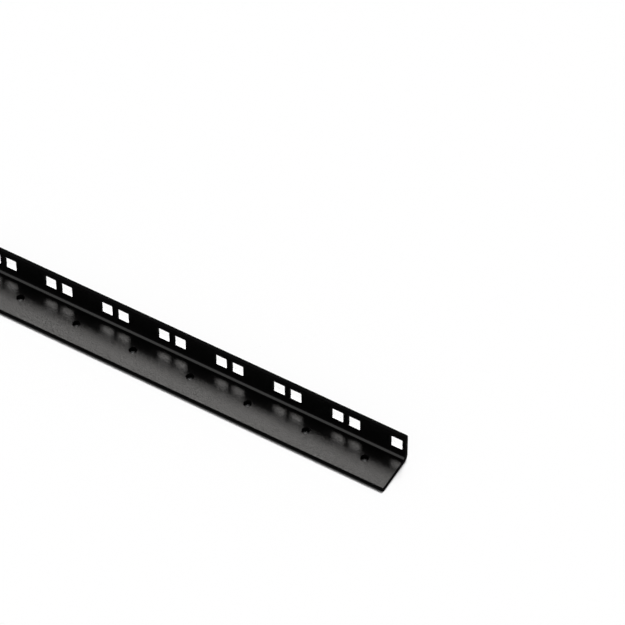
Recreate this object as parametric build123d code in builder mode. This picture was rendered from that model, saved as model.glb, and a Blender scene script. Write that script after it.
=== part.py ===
from build123d import *
import os

# Rack rail: an angle folded from one strip of steel, punched for a whole number of rack units.
# Sizes are in millimetres. X runs along the rail, with its middle at X = 0. The rail lies on
# its wider leaf, with the underside at Z = 0, and its punched upright leaf stands at the back.

# Rack spacing and length. The strip is sheared a little outside its last rack units, so that
# the bar beyond the end hole isn't left thin
unit_height = 44.45
unit_count = 8
end_margin = 1.0

# Section, measured over the outside of the bend
sheet_thickness = 3.0
upright_width = 24.5
lying_width = 32.0
bend_inner_radius = 1.0

# Rounding of the cropped corners, seen square to each leaf, and of the rim all round. Shearing
# rolls the rim over on the angle's inner side and leaves it nearly square on the outer side
corner_radius = 1.0
inner_rim_radius = 0.9
outer_rim_radius = 0.3

# Square holes for cage nuts: the first and the last hole of each rack unit. The last hole of one
# unit and the first of the next make a close pair, half of its spacing to either side of the joint
square_hole_width = 9.5
square_hole_corner_radius = 0.4
square_hole_pair_spacing = 12.7
square_hole_edge_distance = 9.0

# Round holes for the screws that hold the rail: one in the middle of each rack unit
screw_hole_diameter = 5.5
screw_hole_heel_distance = 16.0

rail_length = unit_count * unit_height + 2 * end_margin
heel_y = lying_width / 2
toe_y = heel_y - lying_width
bend_outer_radius = bend_inner_radius + sheet_thickness
square_hole_unit_spacing = unit_height - square_hole_pair_spacing
square_hole_height = upright_width - square_hole_edge_distance
screw_hole_y = heel_y - screw_hole_heel_distance

with BuildPart() as rack_rail:
    # The outer face of the strip, bent once, is thickened inwards to the sheet
    with BuildSketch(Plane.YZ.offset(-rail_length / 2)):
        with BuildLine():
            FilletPolyline((toe_y, 0), (heel_y, 0), (heel_y, upright_width), radius=bend_outer_radius)
            offset(amount=sheet_thickness, side=Side.LEFT)
        make_face()
    extrude(amount=rail_length)

    # Cropped corners: two at the toe of the lying leaf, two at the top of the upright leaf
    toe_corners = rack_rail.edges().filter_by(Axis.Z).group_by(Axis.Y)[0]
    top_corners = rack_rail.edges().filter_by(Axis.Y).group_by(Axis.Z)[-1]
    fillet(toe_corners + top_corners, corner_radius)

    # With its corners round, the rim is one smooth loop on each side of the sheet, and the
    # rounding that starts on its long free edges runs on round both ends
    inner_toe = rack_rail.edges().filter_by(Axis.X).group_by(Axis.Y)[0].sort_by(Axis.Z)[-1]
    inner_top = rack_rail.edges().filter_by(Axis.X).group_by(Axis.Z)[-1].sort_by(Axis.Y)[0]
    fillet([inner_toe, inner_top], inner_rim_radius)
    outer_toe = rack_rail.edges().filter_by(Axis.X).group_by(Axis.Z)[0].sort_by(Axis.Y)[0]
    outer_top = rack_rail.edges().filter_by(Axis.X).group_by(Axis.Y)[-1].sort_by(Axis.Z)[-1]
    fillet([outer_toe, outer_top], outer_rim_radius)

    # Square holes, punched through the upright leaf from its outer face
    with BuildSketch(Plane.XZ.offset(-heel_y)):
        with Locations((0, square_hole_height)):
            with GridLocations(unit_height, 0, unit_count, 1):
                with GridLocations(square_hole_unit_spacing, 0, 2, 1):
                    RectangleRounded(square_hole_width, square_hole_width, square_hole_corner_radius)
    extrude(amount=sheet_thickness, mode=Mode.SUBTRACT)

    # Screw holes, through the lying leaf
    with Locations((0, screw_hole_y, sheet_thickness)):
        with GridLocations(unit_height, 0, unit_count, 1):
            Hole(radius=screw_hole_diameter / 2, depth=sheet_thickness)

rack_rail.part.label = "rack_rail"

os.makedirs("parts", exist_ok=True)
export_step(rack_rail.part, "parts/rack_rail.step")
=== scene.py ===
import math

import bpy
from mathutils import Matrix, Vector


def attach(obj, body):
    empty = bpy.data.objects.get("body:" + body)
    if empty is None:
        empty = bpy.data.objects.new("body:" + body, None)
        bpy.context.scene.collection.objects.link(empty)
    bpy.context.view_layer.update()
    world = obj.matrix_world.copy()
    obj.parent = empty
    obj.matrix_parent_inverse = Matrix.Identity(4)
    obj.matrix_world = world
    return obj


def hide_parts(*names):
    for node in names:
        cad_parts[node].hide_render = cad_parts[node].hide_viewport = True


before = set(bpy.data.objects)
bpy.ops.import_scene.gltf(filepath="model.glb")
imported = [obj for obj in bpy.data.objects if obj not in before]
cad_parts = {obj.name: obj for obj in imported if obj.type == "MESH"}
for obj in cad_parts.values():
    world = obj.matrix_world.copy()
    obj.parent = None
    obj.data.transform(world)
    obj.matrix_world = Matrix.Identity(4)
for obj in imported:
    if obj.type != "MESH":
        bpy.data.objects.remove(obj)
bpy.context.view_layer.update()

# A black rack rail: one strip of sheet steel, punched, folded into an angle and powder coated.
# Metres. X runs along the rail, Z = 0 is the floor, and the punched upright leaf stands at the back.

# Rack spacing and section, as in the CAD model
UNIT_HEIGHT = 0.04445
UNIT_COUNT = 8
END_MARGIN = 0.001
HALF_LENGTH = UNIT_HEIGHT * UNIT_COUNT / 2 + END_MARGIN
SHEET = 0.003
UPRIGHT_WIDTH = 0.0245
LYING_WIDTH = 0.032
BEND_INNER_RADIUS = 0.001
CORNER_RADIUS = 0.001
SQUARE_HOLE_WIDTH = 0.0095
SQUARE_HOLE_CORNER = 0.0004
SQUARE_HOLE_PAIR_SPACING = 0.0127
SQUARE_HOLE_EDGE_DISTANCE = 0.009
SCREW_HOLE_DIAMETER = 0.0055
SCREW_HOLE_HEEL_DISTANCE = 0.016

# Rounding of the edges. Shearing rolls the rim over on the angle's inner side, and less so at its
# cropped ends than along it. The outer side and the punched holes stay crisp
INNER_RIM_RADIUS = 0.0009
END_RIM_RADIUS = 0.0006
OUTER_RIM_RADIUS = 0.0003
HOLE_EDGE_RADIUS = 0.0002

# The fold's inner side, rounder than the CAD model's bend: its bright line in the photograph is that wide
FOLD_RADIUS = 0.0018

# How many steps round the bend, a screw hole and an edge, and how many points round a corner
BEND_STEPS = 16
SCREW_HOLE_STEPS = 64
EDGE_STEPS = 6
CORNER_POINTS = 8
SQUARE_HOLE_CORNER_POINTS = 6

# The leaves and the bend are joined along edges this close together, and a point this close to a
# surface lies on it
SEAM = 1e-6
TOLERANCE = 2e-5

# The powder coat: its two blacks, how fine its orange peel, the grain on that and its broad clouds are,
# and how deep the peel and the grain go together, with each one's share of that
DEEP_BLACK = (0.0015, 0.0015, 0.0015, 1.0)
SOFT_BLACK = (0.0025, 0.0024, 0.0024, 1.0)
PEEL_SCALE = 850.0
GRAIN_SCALE = 2600.0
CLOUD_SCALE = 60.0
PEEL_DEPTH = 0.0002
PEEL_SHARE, GRAIN_SHARE = 0.7, 0.3

# Its gloss: the face's roughness, what the clouds and the grain add to that, and the matt cut edges
FACE_ROUGHNESS = 0.26
CLOUD_ROUGHNESS = 0.03
GRAIN_ROUGHNESS = 0.05
CUT_EDGE_ROUGHNESS = 0.9

# How slick it is inside the fold and on the lower walls of the square holes. A direction that leans
# this far from both leaves is one of the fold's
FOLD_GLOSS = 0.78
HOLE_GLOSS = 0.75
FOLD_LEAN = 0.05

# The floor: half its width, its white, the glow that lifts it where it is seen, how far out it starts
# and ends its fade into the backdrop, and how near and how much a piece shuts off the sky for its painted
# shade
FLOOR_REACH = 8.0
FLOOR_WHITE = (0.94, 0.94, 0.94, 1.0)
FLOOR_GLOW = 0.04
FADE_START, FADE_END = 0.45, 1.2
PAINTED_SHADE_REACH = 0.006
PAINTED_SHADE_DARK, PAINTED_SHADE_CLEAR = 0.4, 0.7

# The backdrop's strength where it lights the rail. Where it is seen it is 1, which is white
BACKDROP_LIGHT = 0.12

WHITE = (1.0, 1.0, 1.0, 1.0)
BLACK = (0.0, 0.0, 0.0, 1.0)
GLOSS_BOX_DISTANCE = 6.0

# The photograph's camera: where it stands, and the pixel on which the near end's heel corner falls
PHOTO_WIDTH = 625
CAMERA_AZIMUTH = math.radians(30.49)
CAMERA_ELEVATION = math.radians(50.63)
CAMERA_DISTANCE = 2.853
FOCAL_LENGTH_IN_PIXELS = 4375
SENSOR_WIDTH_IN_MILLIMETRES = 36.0
HEEL_CORNER_IN_PHOTO = (407.6, 458.4)


# Node building

class Signal:
    """A node's output. Maths on values is written as Python and becomes Math nodes."""

    def __init__(self, nodes, socket):
        self.nodes = nodes
        self.socket = socket

    def __add__(self, other):
        return self.nodes.maths("ADD", self, other)

    def __radd__(self, other):
        return self.nodes.maths("ADD", other, self)

    def __sub__(self, other):
        return self.nodes.maths("SUBTRACT", self, other)

    def __rsub__(self, other):
        return self.nodes.maths("SUBTRACT", other, self)

    def __mul__(self, other):
        return self.nodes.maths("MULTIPLY", self, other)

    def __rmul__(self, other):
        return self.nodes.maths("MULTIPLY", other, self)

    def __gt__(self, other):
        return self.nodes.maths("GREATER_THAN", self, other)

    def __lt__(self, other):
        return self.nodes.maths("LESS_THAN", self, other)


class Nodes:
    """Adds nodes to one tree."""

    def __init__(self, tree):
        self.tree = tree

    def node(self, kind, settings=None, inputs=None):
        """A node of this type. Its settings are made first, and then its sockets get values or links."""
        made = self.tree.nodes.new(kind)
        for name, value in (settings or {}).items():
            setattr(made, name, value)
        for name, value in (inputs or {}).items():
            for part in value if isinstance(value, list) else [value]:
                if isinstance(part, Signal):
                    self.tree.links.new(part.socket, made.inputs[name])
                else:
                    made.inputs[name].default_value = part
        return made

    def add(self, kind, settings=None, inputs=None, output=0):
        """One output of such a node."""
        return Signal(self, self.node(kind, settings, inputs).outputs[output])

    def maths(self, operation, *values):
        return self.add("ShaderNodeMath", {"operation": operation}, dict(enumerate(values)))

    def vector(self, x=0.0, y=0.0, z=0.0):
        return self.add("ShaderNodeCombineXYZ", inputs={"X": x, "Y": y, "Z": z})

    def parts(self, vector):
        """The three values in a vector."""
        split = self.node("ShaderNodeSeparateXYZ", inputs={"Vector": vector})
        return [Signal(self, socket) for socket in split.outputs]

    def step_between(self, value, start, end):
        """0 up to the start and 1 from the end on, with a smooth rise from one to the other."""
        return self.add("ShaderNodeMapRange", {"interpolation_type": "SMOOTHSTEP"},
                        {"Value": value, "From Min": start, "From Max": end})

    def colour_between(self, share, first, second):
        """A mix of two colours. The Mix node's colour sockets share their names with its other sockets, so
        they go by number."""
        return self.add("ShaderNodeMix", {"data_type": "RGBA"}, {"Factor": share, 6: first, 7: second},
                        output=2)

    def shader_between(self, share, first, second):
        return self.add("ShaderNodeMixShader", inputs={"Fac": share, 1: first, 2: second})


# The folded strip

STRIP_SIZES = {
    "Unit Height": ("NodeSocketFloat", UNIT_HEIGHT),
    "Unit Count": ("NodeSocketInt", UNIT_COUNT),
    "End Margin": ("NodeSocketFloat", END_MARGIN),
    "Upright Width": ("NodeSocketFloat", UPRIGHT_WIDTH),
    "Lying Width": ("NodeSocketFloat", LYING_WIDTH),
    "Bend Outer Radius": ("NodeSocketFloat", BEND_INNER_RADIUS + SHEET),
    "Bend Steps": ("NodeSocketInt", BEND_STEPS),
    "Corner Radius": ("NodeSocketFloat", CORNER_RADIUS),
    "Square Hole Width": ("NodeSocketFloat", SQUARE_HOLE_WIDTH),
    "Square Hole Corner": ("NodeSocketFloat", SQUARE_HOLE_CORNER),
    "Square Hole Pair Spacing": ("NodeSocketFloat", SQUARE_HOLE_PAIR_SPACING),
    "Square Hole Edge Distance": ("NodeSocketFloat", SQUARE_HOLE_EDGE_DISTANCE),
    "Screw Hole Diameter": ("NodeSocketFloat", SCREW_HOLE_DIAMETER),
    "Screw Hole Heel Distance": ("NodeSocketFloat", SCREW_HOLE_HEEL_DISTANCE),
}


def row_of(make, piece, count, spacing):
    """Copies of a piece along X, with the middle of the row at X = 0."""
    start = make.vector(x=(1.0 - count) * spacing * 0.5)
    points = make.add("GeometryNodeMeshLine", {"mode": "OFFSET"},
                      {"Count": count, "Start Location": start, "Offset": make.vector(x=spacing)})
    return make.add("GeometryNodeInstanceOnPoints", inputs={"Points": points, "Instance": piece})


def rectangle(make, width, height):
    return make.add("GeometryNodeCurvePrimitiveQuadrilateral", inputs={"Width": width, "Height": height})


def rounded(make, outline, radius, points):
    """An outline with each corner rounded to this radius, which may differ from corner to corner."""
    return make.add("GeometryNodeFilletCurve", {"mode": "POLY"},
                    {"Curve": outline, "Count": points, "Radius": radius})


def moved(make, piece, place, turn_about_x=0.0):
    """A piece turned about the X axis and then moved."""
    return make.add("GeometryNodeTransform",
                    inputs={"Geometry": piece, "Translation": place, "Rotation": (turn_about_x, 0.0, 0.0)})


def punched_leaf(make, length, width, corner, holes, hole_line):
    """A flat leaf in XY, from its fold line at Y = 0 to its free edge, with a row of holes punched out."""
    across = make.parts(make.add("GeometryNodeInputPosition"))[1]
    outline = rounded(make, rectangle(make, length, width), corner * (across > 0.0), CORNER_POINTS)
    outline = moved(make, outline, make.vector(y=width * 0.5))
    holes = moved(make, holes, make.vector(y=hole_line))
    curves = make.add("GeometryNodeJoinGeometry", inputs={"Geometry": [outline, holes]})
    curves = make.add("GeometryNodeRealizeInstances", inputs={"Geometry": curves})
    return make.add("GeometryNodeFillCurve", {"mode": "NGONS"}, {"Curve": curves})


def rolled_bend(make, length, radius, heel, steps):
    """A quarter turn round the fold. It starts as a flat grid, as deep as its own angle."""
    quarter = math.pi / 2
    flat = make.add("GeometryNodeMeshGrid",
                    inputs={"Size X": length, "Size Y": quarter,
                            "Vertices X": 2, "Vertices Y": steps + 1.0})
    along, across, _ = make.parts(make.add("GeometryNodeInputPosition"))
    turn = across + quarter / 2
    place = make.vector(along, heel - radius + radius * make.maths("SINE", turn),
                        radius - radius * make.maths("COSINE", turn))
    return make.add("GeometryNodeSetPosition", inputs={"Geometry": flat, "Position": place})


def strip_tree():
    """The outer skin of the folded strip, with every hole punched through it."""
    tree = bpy.data.node_groups.new("folded_strip", "GeometryNodeTree")
    for name, (kind, _) in STRIP_SIZES.items():
        tree.interface.new_socket(name=name, in_out="INPUT", socket_type=kind)
    tree.interface.new_socket(name="Finish", in_out="INPUT", socket_type="NodeSocketMaterial")
    tree.interface.new_socket(name="Geometry", in_out="OUTPUT", socket_type="NodeSocketGeometry")
    make = Nodes(tree)
    given = tree.nodes.new("NodeGroupInput")
    size = {socket.name: Signal(make, socket) for socket in given.outputs if socket.name}
    unit, count = size["Unit Height"], size["Unit Count"]
    length = unit * count + size["End Margin"] * 2.0
    bend, corner = size["Bend Outer Radius"], size["Corner Radius"]
    heel = size["Lying Width"] * 0.5

    square = rectangle(make, size["Square Hole Width"], size["Square Hole Width"])
    square = rounded(make, square, size["Square Hole Corner"], SQUARE_HOLE_CORNER_POINTS)
    squares = row_of(make, square, 2, unit - size["Square Hole Pair Spacing"])
    squares = row_of(make, squares, count, unit)
    upright_flat = size["Upright Width"] - bend
    upright = punched_leaf(make, length, upright_flat, corner, squares,
                           upright_flat - size["Square Hole Edge Distance"])
    upright = moved(make, upright, make.vector(y=heel, z=bend), math.pi / 2)

    screw_hole = make.add("GeometryNodeCurvePrimitiveCircle", {"mode": "RADIUS"},
                          {"Resolution": SCREW_HOLE_STEPS, "Radius": size["Screw Hole Diameter"] * 0.5})
    screw_holes = row_of(make, screw_hole, count, unit)
    lying = punched_leaf(make, length, size["Lying Width"] - bend, corner, screw_holes,
                         size["Screw Hole Heel Distance"] - bend)
    lying = moved(make, lying, make.vector(y=heel - bend), math.pi)

    # The upright leaf and the bend come out facing inwards, and are turned over
    folded_bend = rolled_bend(make, length, bend, heel, size["Bend Steps"])
    inward = make.add("GeometryNodeJoinGeometry", inputs={"Geometry": [upright, folded_bend]})
    outward = make.add("GeometryNodeFlipFaces", inputs={"Mesh": inward})
    skin = make.add("GeometryNodeJoinGeometry", inputs={"Geometry": [outward, lying]})
    skin = make.add("GeometryNodeMergeByDistance", inputs={"Geometry": skin, "Distance": SEAM})

    # Every sheared or punched edge, which has a face on one side alone, is marked for its rounding
    faces_beside = make.add("GeometryNodeInputMeshEdgeNeighbors")
    skin = make.add("GeometryNodeStoreNamedAttribute", {"data_type": "FLOAT", "domain": "EDGE"},
                    {"Geometry": skin, "Name": "bevel_weight_edge", "Value": faces_beside < 1.5})
    skin = make.add("GeometryNodeSetShadeSmooth", inputs={"Geometry": skin})
    skin = make.add("GeometryNodeRealizeInstances", inputs={"Geometry": skin})
    skin = make.add("GeometryNodeSetMaterial", inputs={"Geometry": skin, "Material": size["Finish"]})
    make.node("NodeGroupOutput", inputs={"Geometry": skin})
    return tree


def place_in_sheet(point, inner_radius=BEND_INNER_RADIUS):
    """How deep a point lies under the outer face of the sheet, and that face's direction there, with the
    sheet bent to this inner radius."""
    heel, bend = LYING_WIDTH / 2, inner_radius + SHEET
    beyond_y, below_z = point.y - (heel - bend), bend - point.z
    if beyond_y > 0 and below_z > 0:
        spoke = Vector((0.0, beyond_y, -below_z))
        return bend - spoke.length, spoke.normalized()
    if below_z > 0:
        return point.z, Vector((0.0, 0.0, -1.0))
    return heel - point.y, Vector((0.0, 1.0, 0.0))


def round_fold(mesh):
    """Rounds the bend's inner side to the fold's radius. Its outer side stays as it is."""
    heel = LYING_WIDTH / 2
    bent, rounder = SHEET + BEND_INNER_RADIUS, SHEET + FOLD_RADIUS
    for vertex in mesh.vertices:
        beyond_y, below_z = vertex.co.y - (heel - bent), bent - vertex.co.z
        if math.hypot(beyond_y, below_z) < BEND_INNER_RADIUS + TOLERANCE:
            spoke = Vector((0.0, max(beyond_y, 0.0), -max(below_z, 0.0))).normalized() * FOLD_RADIUS
            vertex.co = (vertex.co.x, heel - rounder + spoke.y, rounder + spoke.z)


def edge_radius(point):
    """How round the sheet's edge is at this point on it."""
    from_end = HALF_LENGTH - abs(point.x)
    from_side = min(UPRIGHT_WIDTH - point.z, LYING_WIDTH / 2 + point.y)
    if min(from_end, from_side) > CORNER_RADIUS:
        return HOLE_EDGE_RADIUS
    if place_in_sheet(point)[0] < SHEET / 2:
        return OUTER_RIM_RADIUS
    rolled = min(1.0, from_end / CORNER_RADIUS)
    return END_RIM_RADIUS + (INNER_RIM_RADIUS - END_RIM_RADIUS) * rolled


def finish_skin(mesh):
    """Keeps the sheet's faces plane and its bend smooth, and marks where the coat differs. It is matt on
    the cut edges, and slick inside the fold and on the lower walls of the square holes."""
    lower_wall = UPRIGHT_WIDTH - SQUARE_HOLE_EDGE_DISTANCE - SQUARE_HOLE_WIDTH / 2
    normals = [vertex.normal.copy() for vertex in mesh.vertices]
    matt = mesh.attributes.new("matt", "FLOAT", "POINT")
    slick = mesh.attributes.new("slick", "FLOAT", "POINT")
    for vertex in mesh.vertices:
        depth, outward = place_in_sheet(vertex.co)
        fold_depth, fold_outward = place_in_sheet(vertex.co, FOLD_RADIUS)
        if depth < TOLERANCE:
            normals[vertex.index] = outward
        elif fold_depth > SHEET - TOLERANCE:
            normals[vertex.index] = -fold_outward
            in_fold = min(fold_outward.y, -fold_outward.z) > FOLD_LEAN
            slick.data[vertex.index].value = FOLD_GLOSS if in_fold else 0.0
        elif abs(vertex.co.z - lower_wall) < TOLERANCE:
            normals[vertex.index] = Vector((0.0, 0.0, 1.0))
            slick.data[vertex.index].value = HOLE_GLOSS
        else:
            matt.data[vertex.index].value = 1.0
    mesh.normals_split_custom_set_from_vertices(normals)


def take_mesh(host):
    """The host's mesh as its modifiers make it, with the modifiers gone."""
    graph = bpy.context.evaluated_depsgraph_get()
    mesh = bpy.data.meshes.new_from_object(host.evaluated_get(graph), depsgraph=graph)
    host.modifiers.clear()
    return mesh


def fold_rail(finish):
    """The rail as one plain closed mesh: the skin, given its thickness and its rounded edges."""
    rail = bpy.data.objects.new("rail_angle", bpy.data.meshes.new("strip"))
    bpy.context.scene.collection.objects.link(rail)
    tree = strip_tree()
    skin = rail.modifiers.new("skin", "NODES")
    skin.node_group = tree
    for item in tree.interface.items_tree:
        if item.in_out == "INPUT":
            skin[item.identifier] = finish if item.name == "Finish" else STRIP_SIZES[item.name][1]
    sheet = rail.modifiers.new("sheet", "SOLIDIFY")
    sheet.thickness = SHEET
    sheet.offset = -1.0
    sheet.use_even_offset = True
    rail.data = take_mesh(rail)

    mesh = rail.data
    round_fold(mesh)
    for edge, weight in zip(mesh.edges, mesh.attributes["bevel_weight_edge"].data):
        middle = (mesh.vertices[edge.vertices[0]].co + mesh.vertices[edge.vertices[1]].co) / 2
        weight.value *= edge_radius(middle) / INNER_RIM_RADIUS
    rounding = rail.modifiers.new("rounding", "BEVEL")
    rounding.width = INNER_RIM_RADIUS
    rounding.segments = EDGE_STEPS
    rounding.limit_method = "WEIGHT"
    rounding.use_clamp_overlap = False
    rail.data = take_mesh(rail)
    rail.data.name = "rail_angle"
    finish_skin(rail.data)
    return rail


# Finish

def new_material(name):
    material = bpy.data.materials.new(name)
    material.use_nodes = True
    material.node_tree.nodes.clear()
    return material, Nodes(material.node_tree)


def powder_coat():
    """Black powder coat with a fine orange peel."""
    material, make = new_material("black_powder_coat")
    place = make.add("ShaderNodeTexCoord", output="Object")

    def unevenness(scale, detail):
        return make.add("ShaderNodeTexNoise", inputs={"Vector": place, "Scale": scale, "Detail": detail})

    peel = unevenness(PEEL_SCALE, 2.0)
    grain = unevenness(GRAIN_SCALE, 2.0)
    cloud = unevenness(CLOUD_SCALE, 3.0)
    matt = make.add("ShaderNodeAttribute", {"attribute_name": "matt"}, output="Fac")
    slick = make.add("ShaderNodeAttribute", {"attribute_name": "slick"}, output="Fac")

    colour = make.colour_between(cloud, DEEP_BLACK, SOFT_BLACK)
    height = peel * PEEL_SHARE + grain * GRAIN_SHARE
    bump = make.add("ShaderNodeBump", inputs={"Strength": 1.0, "Distance": PEEL_DEPTH, "Height": height})
    roughness = FACE_ROUGHNESS + cloud * CLOUD_ROUGHNESS + grain * GRAIN_ROUGHNESS
    coat = make.add("ShaderNodeBsdfPrincipled",
                    inputs={"Base Color": colour, "Roughness": roughness, "IOR": 1.2,
                            "Specular Tint": (1.0, 0.97, 0.94, 1.0), "Normal": bump,
                            "Coat Weight": slick, "Coat Roughness": 0.08})
    dull = make.add("ShaderNodeBsdfPrincipled",
                    inputs={"Base Color": colour, "Roughness": CUT_EDGE_ROUGHNESS,
                            "Specular IOR Level": 0.03})
    make.node("ShaderNodeOutputMaterial", inputs={"Surface": make.shader_between(matt, coat, dull)})
    return material


# Studio

def seen_rays(make):
    """1 where the camera looks, straight or in metal and glass, and 0 for rays that only light things."""
    path = make.node("ShaderNodeLightPath")
    camera, glossy, transmission = [Signal(make, path.outputs[name]) for name in
                                    ("Is Camera Ray", "Is Glossy Ray", "Is Transmission Ray")]
    return make.maths("MAXIMUM", camera, make.maths("MAXIMUM", glossy, transmission))


def studio_floor():
    """A plain white floor. Where it is seen it is lifted a little, darkened by painted shade close to what
    lies on it, and white far out, where it meets the backdrop."""
    mesh = bpy.data.meshes.new("studio_floor")
    corners = [(-FLOOR_REACH, -FLOOR_REACH, 0), (FLOOR_REACH, -FLOOR_REACH, 0),
               (FLOOR_REACH, FLOOR_REACH, 0), (-FLOOR_REACH, FLOOR_REACH, 0)]
    mesh.from_pydata(corners, [], [(0, 1, 2, 3)])
    floor = bpy.data.objects.new("studio_floor", mesh)
    bpy.context.scene.collection.objects.link(floor)

    material, make = new_material("studio_floor")
    place = make.add("ShaderNodeTexCoord", output="Object")
    distance = make.add("ShaderNodeVectorMath", {"operation": "LENGTH"}, {0: place}, output="Value")
    far = make.step_between(distance, FADE_START, FADE_END)
    # Painted shade: beside a piece, where ambient occlusion finds the sky shut off, the seen floor turns
    # black
    open_sky = make.add("ShaderNodeAmbientOcclusion", {"samples": 16}, {"Distance": PAINTED_SHADE_REACH},
                        output="AO")
    clear = make.step_between(open_sky, PAINTED_SHADE_DARK, PAINTED_SHADE_CLEAR)
    paint = make.add("ShaderNodeBsdfDiffuse", inputs={"Color": FLOOR_WHITE})
    painted_shade = make.add("ShaderNodeBsdfDiffuse", inputs={"Color": BLACK})
    glow = make.add("ShaderNodeEmission", inputs={"Color": WHITE, "Strength": FLOOR_GLOW})
    lifted = make.add("ShaderNodeAddShader", inputs={0: paint, 1: glow})
    backdrop = make.add("ShaderNodeEmission", inputs={"Color": WHITE, "Strength": 1.0})
    seen = make.shader_between(far, make.shader_between(clear, painted_shade, lifted), backdrop)
    look = make.shader_between(seen_rays(make), paint, seen)
    make.node("ShaderNodeOutputMaterial", inputs={"Surface": look})
    mesh.materials.append(material)


def studio_backdrop():
    """White where it is seen, straight or in reflections, and dim where it lights the rail."""
    world = bpy.data.worlds.new("studio")
    bpy.context.scene.world = world
    world.use_nodes = True
    world.node_tree.nodes.clear()
    make = Nodes(world.node_tree)
    dim = make.add("ShaderNodeBackground", inputs={"Color": WHITE, "Strength": BACKDROP_LIGHT})
    white = make.add("ShaderNodeBackground", inputs={"Color": WHITE, "Strength": 1.0})
    look = make.shader_between(seen_rays(make), dim, white)
    make.node("ShaderNodeOutputWorld", inputs={"Surface": look})


def gloss_box(name, azimuth, elevation, width, height, radiance):
    """A far soft box that shows in the rail's gloss alone. Its place and its size are angles in degrees,
    and its azimuth is counted from +Y towards -X."""
    azimuth, elevation = math.radians(azimuth), math.radians(elevation)
    direction = Vector((-math.sin(azimuth) * math.cos(elevation), math.cos(azimuth) * math.cos(elevation),
                        math.sin(elevation)))
    light = bpy.data.lights.new(name, "AREA")
    light.shape = "RECTANGLE"
    light.size = 2 * GLOSS_BOX_DISTANCE * math.tan(math.radians(width) / 2)
    light.size_y = 2 * GLOSS_BOX_DISTANCE * math.tan(math.radians(height) / 2)
    light.energy = radiance * math.pi * light.size * light.size_y
    lamp = bpy.data.objects.new(name, light)
    lamp.location = direction * GLOSS_BOX_DISTANCE
    lamp.rotation_mode = "QUATERNION"
    lamp.rotation_quaternion = direction.to_track_quat("Z", "Y")
    lamp.visible_diffuse = False
    lamp.visible_camera = False
    bpy.context.scene.collection.objects.link(lamp)


def key_light(direction, spread, level):
    """The soft light that every colour is seen by, with its spread in degrees. At a level of 1, white
    lying flat renders white."""
    light = bpy.data.lights.new("key_light", "SUN")
    light.angle = math.radians(spread)
    light.energy = level * math.pi / direction.normalized().z
    lamp = bpy.data.objects.new("key_light", light)
    lamp.rotation_mode = "QUATERNION"
    lamp.rotation_quaternion = direction.to_track_quat("Z", "Y")
    lamp.visible_glossy = False
    bpy.context.scene.collection.objects.link(lamp)


def photo_camera():
    """The camera stands so that the near end's heel corner falls on its pixel of the photograph."""
    azimuth, elevation = CAMERA_AZIMUTH, CAMERA_ELEVATION
    toward = Vector((math.sin(azimuth), -math.cos(azimuth), 0.0))
    right = Vector((math.cos(azimuth), math.sin(azimuth), 0.0))
    back = toward * math.cos(elevation) + Vector((0.0, 0.0, math.sin(elevation)))
    up = back.cross(right)
    heel_corner = Vector((HALF_LENGTH, LYING_WIDTH / 2, 0.0))
    middle = PHOTO_WIDTH / 2
    metres_per_pixel = CAMERA_DISTANCE / FOCAL_LENGTH_IN_PIXELS
    offset_right = (HEEL_CORNER_IN_PHOTO[0] - middle) * metres_per_pixel
    offset_up = (middle - HEEL_CORNER_IN_PHOTO[1]) * metres_per_pixel
    data = bpy.data.cameras.new("photo_camera")
    data.sensor_width = SENSOR_WIDTH_IN_MILLIMETRES
    data.lens = FOCAL_LENGTH_IN_PIXELS / PHOTO_WIDTH * data.sensor_width
    data.clip_start, data.clip_end = 0.1, 100.0
    camera = bpy.data.objects.new("photo_camera", data)
    place = heel_corner - right * offset_right - up * offset_up + back * CAMERA_DISTANCE
    axes = Matrix((right, up, back)).transposed()
    camera.matrix_world = Matrix.Translation(place) @ axes.to_4x4()
    bpy.context.scene.collection.objects.link(camera)
    bpy.context.scene.camera = camera


rail = fold_rail(powder_coat())
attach(rail, "root")
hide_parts("rack_rail")

studio_floor()
studio_backdrop()
key_light(direction=Vector((0.04, 0.63, 1.0)), spread=24, level=0.9)
gloss_box("back_box", azimuth=31, elevation=49.5, width=14, height=19, radiance=33.0)
photo_camera()

bpy.context.scene.view_settings.view_transform = "Standard"
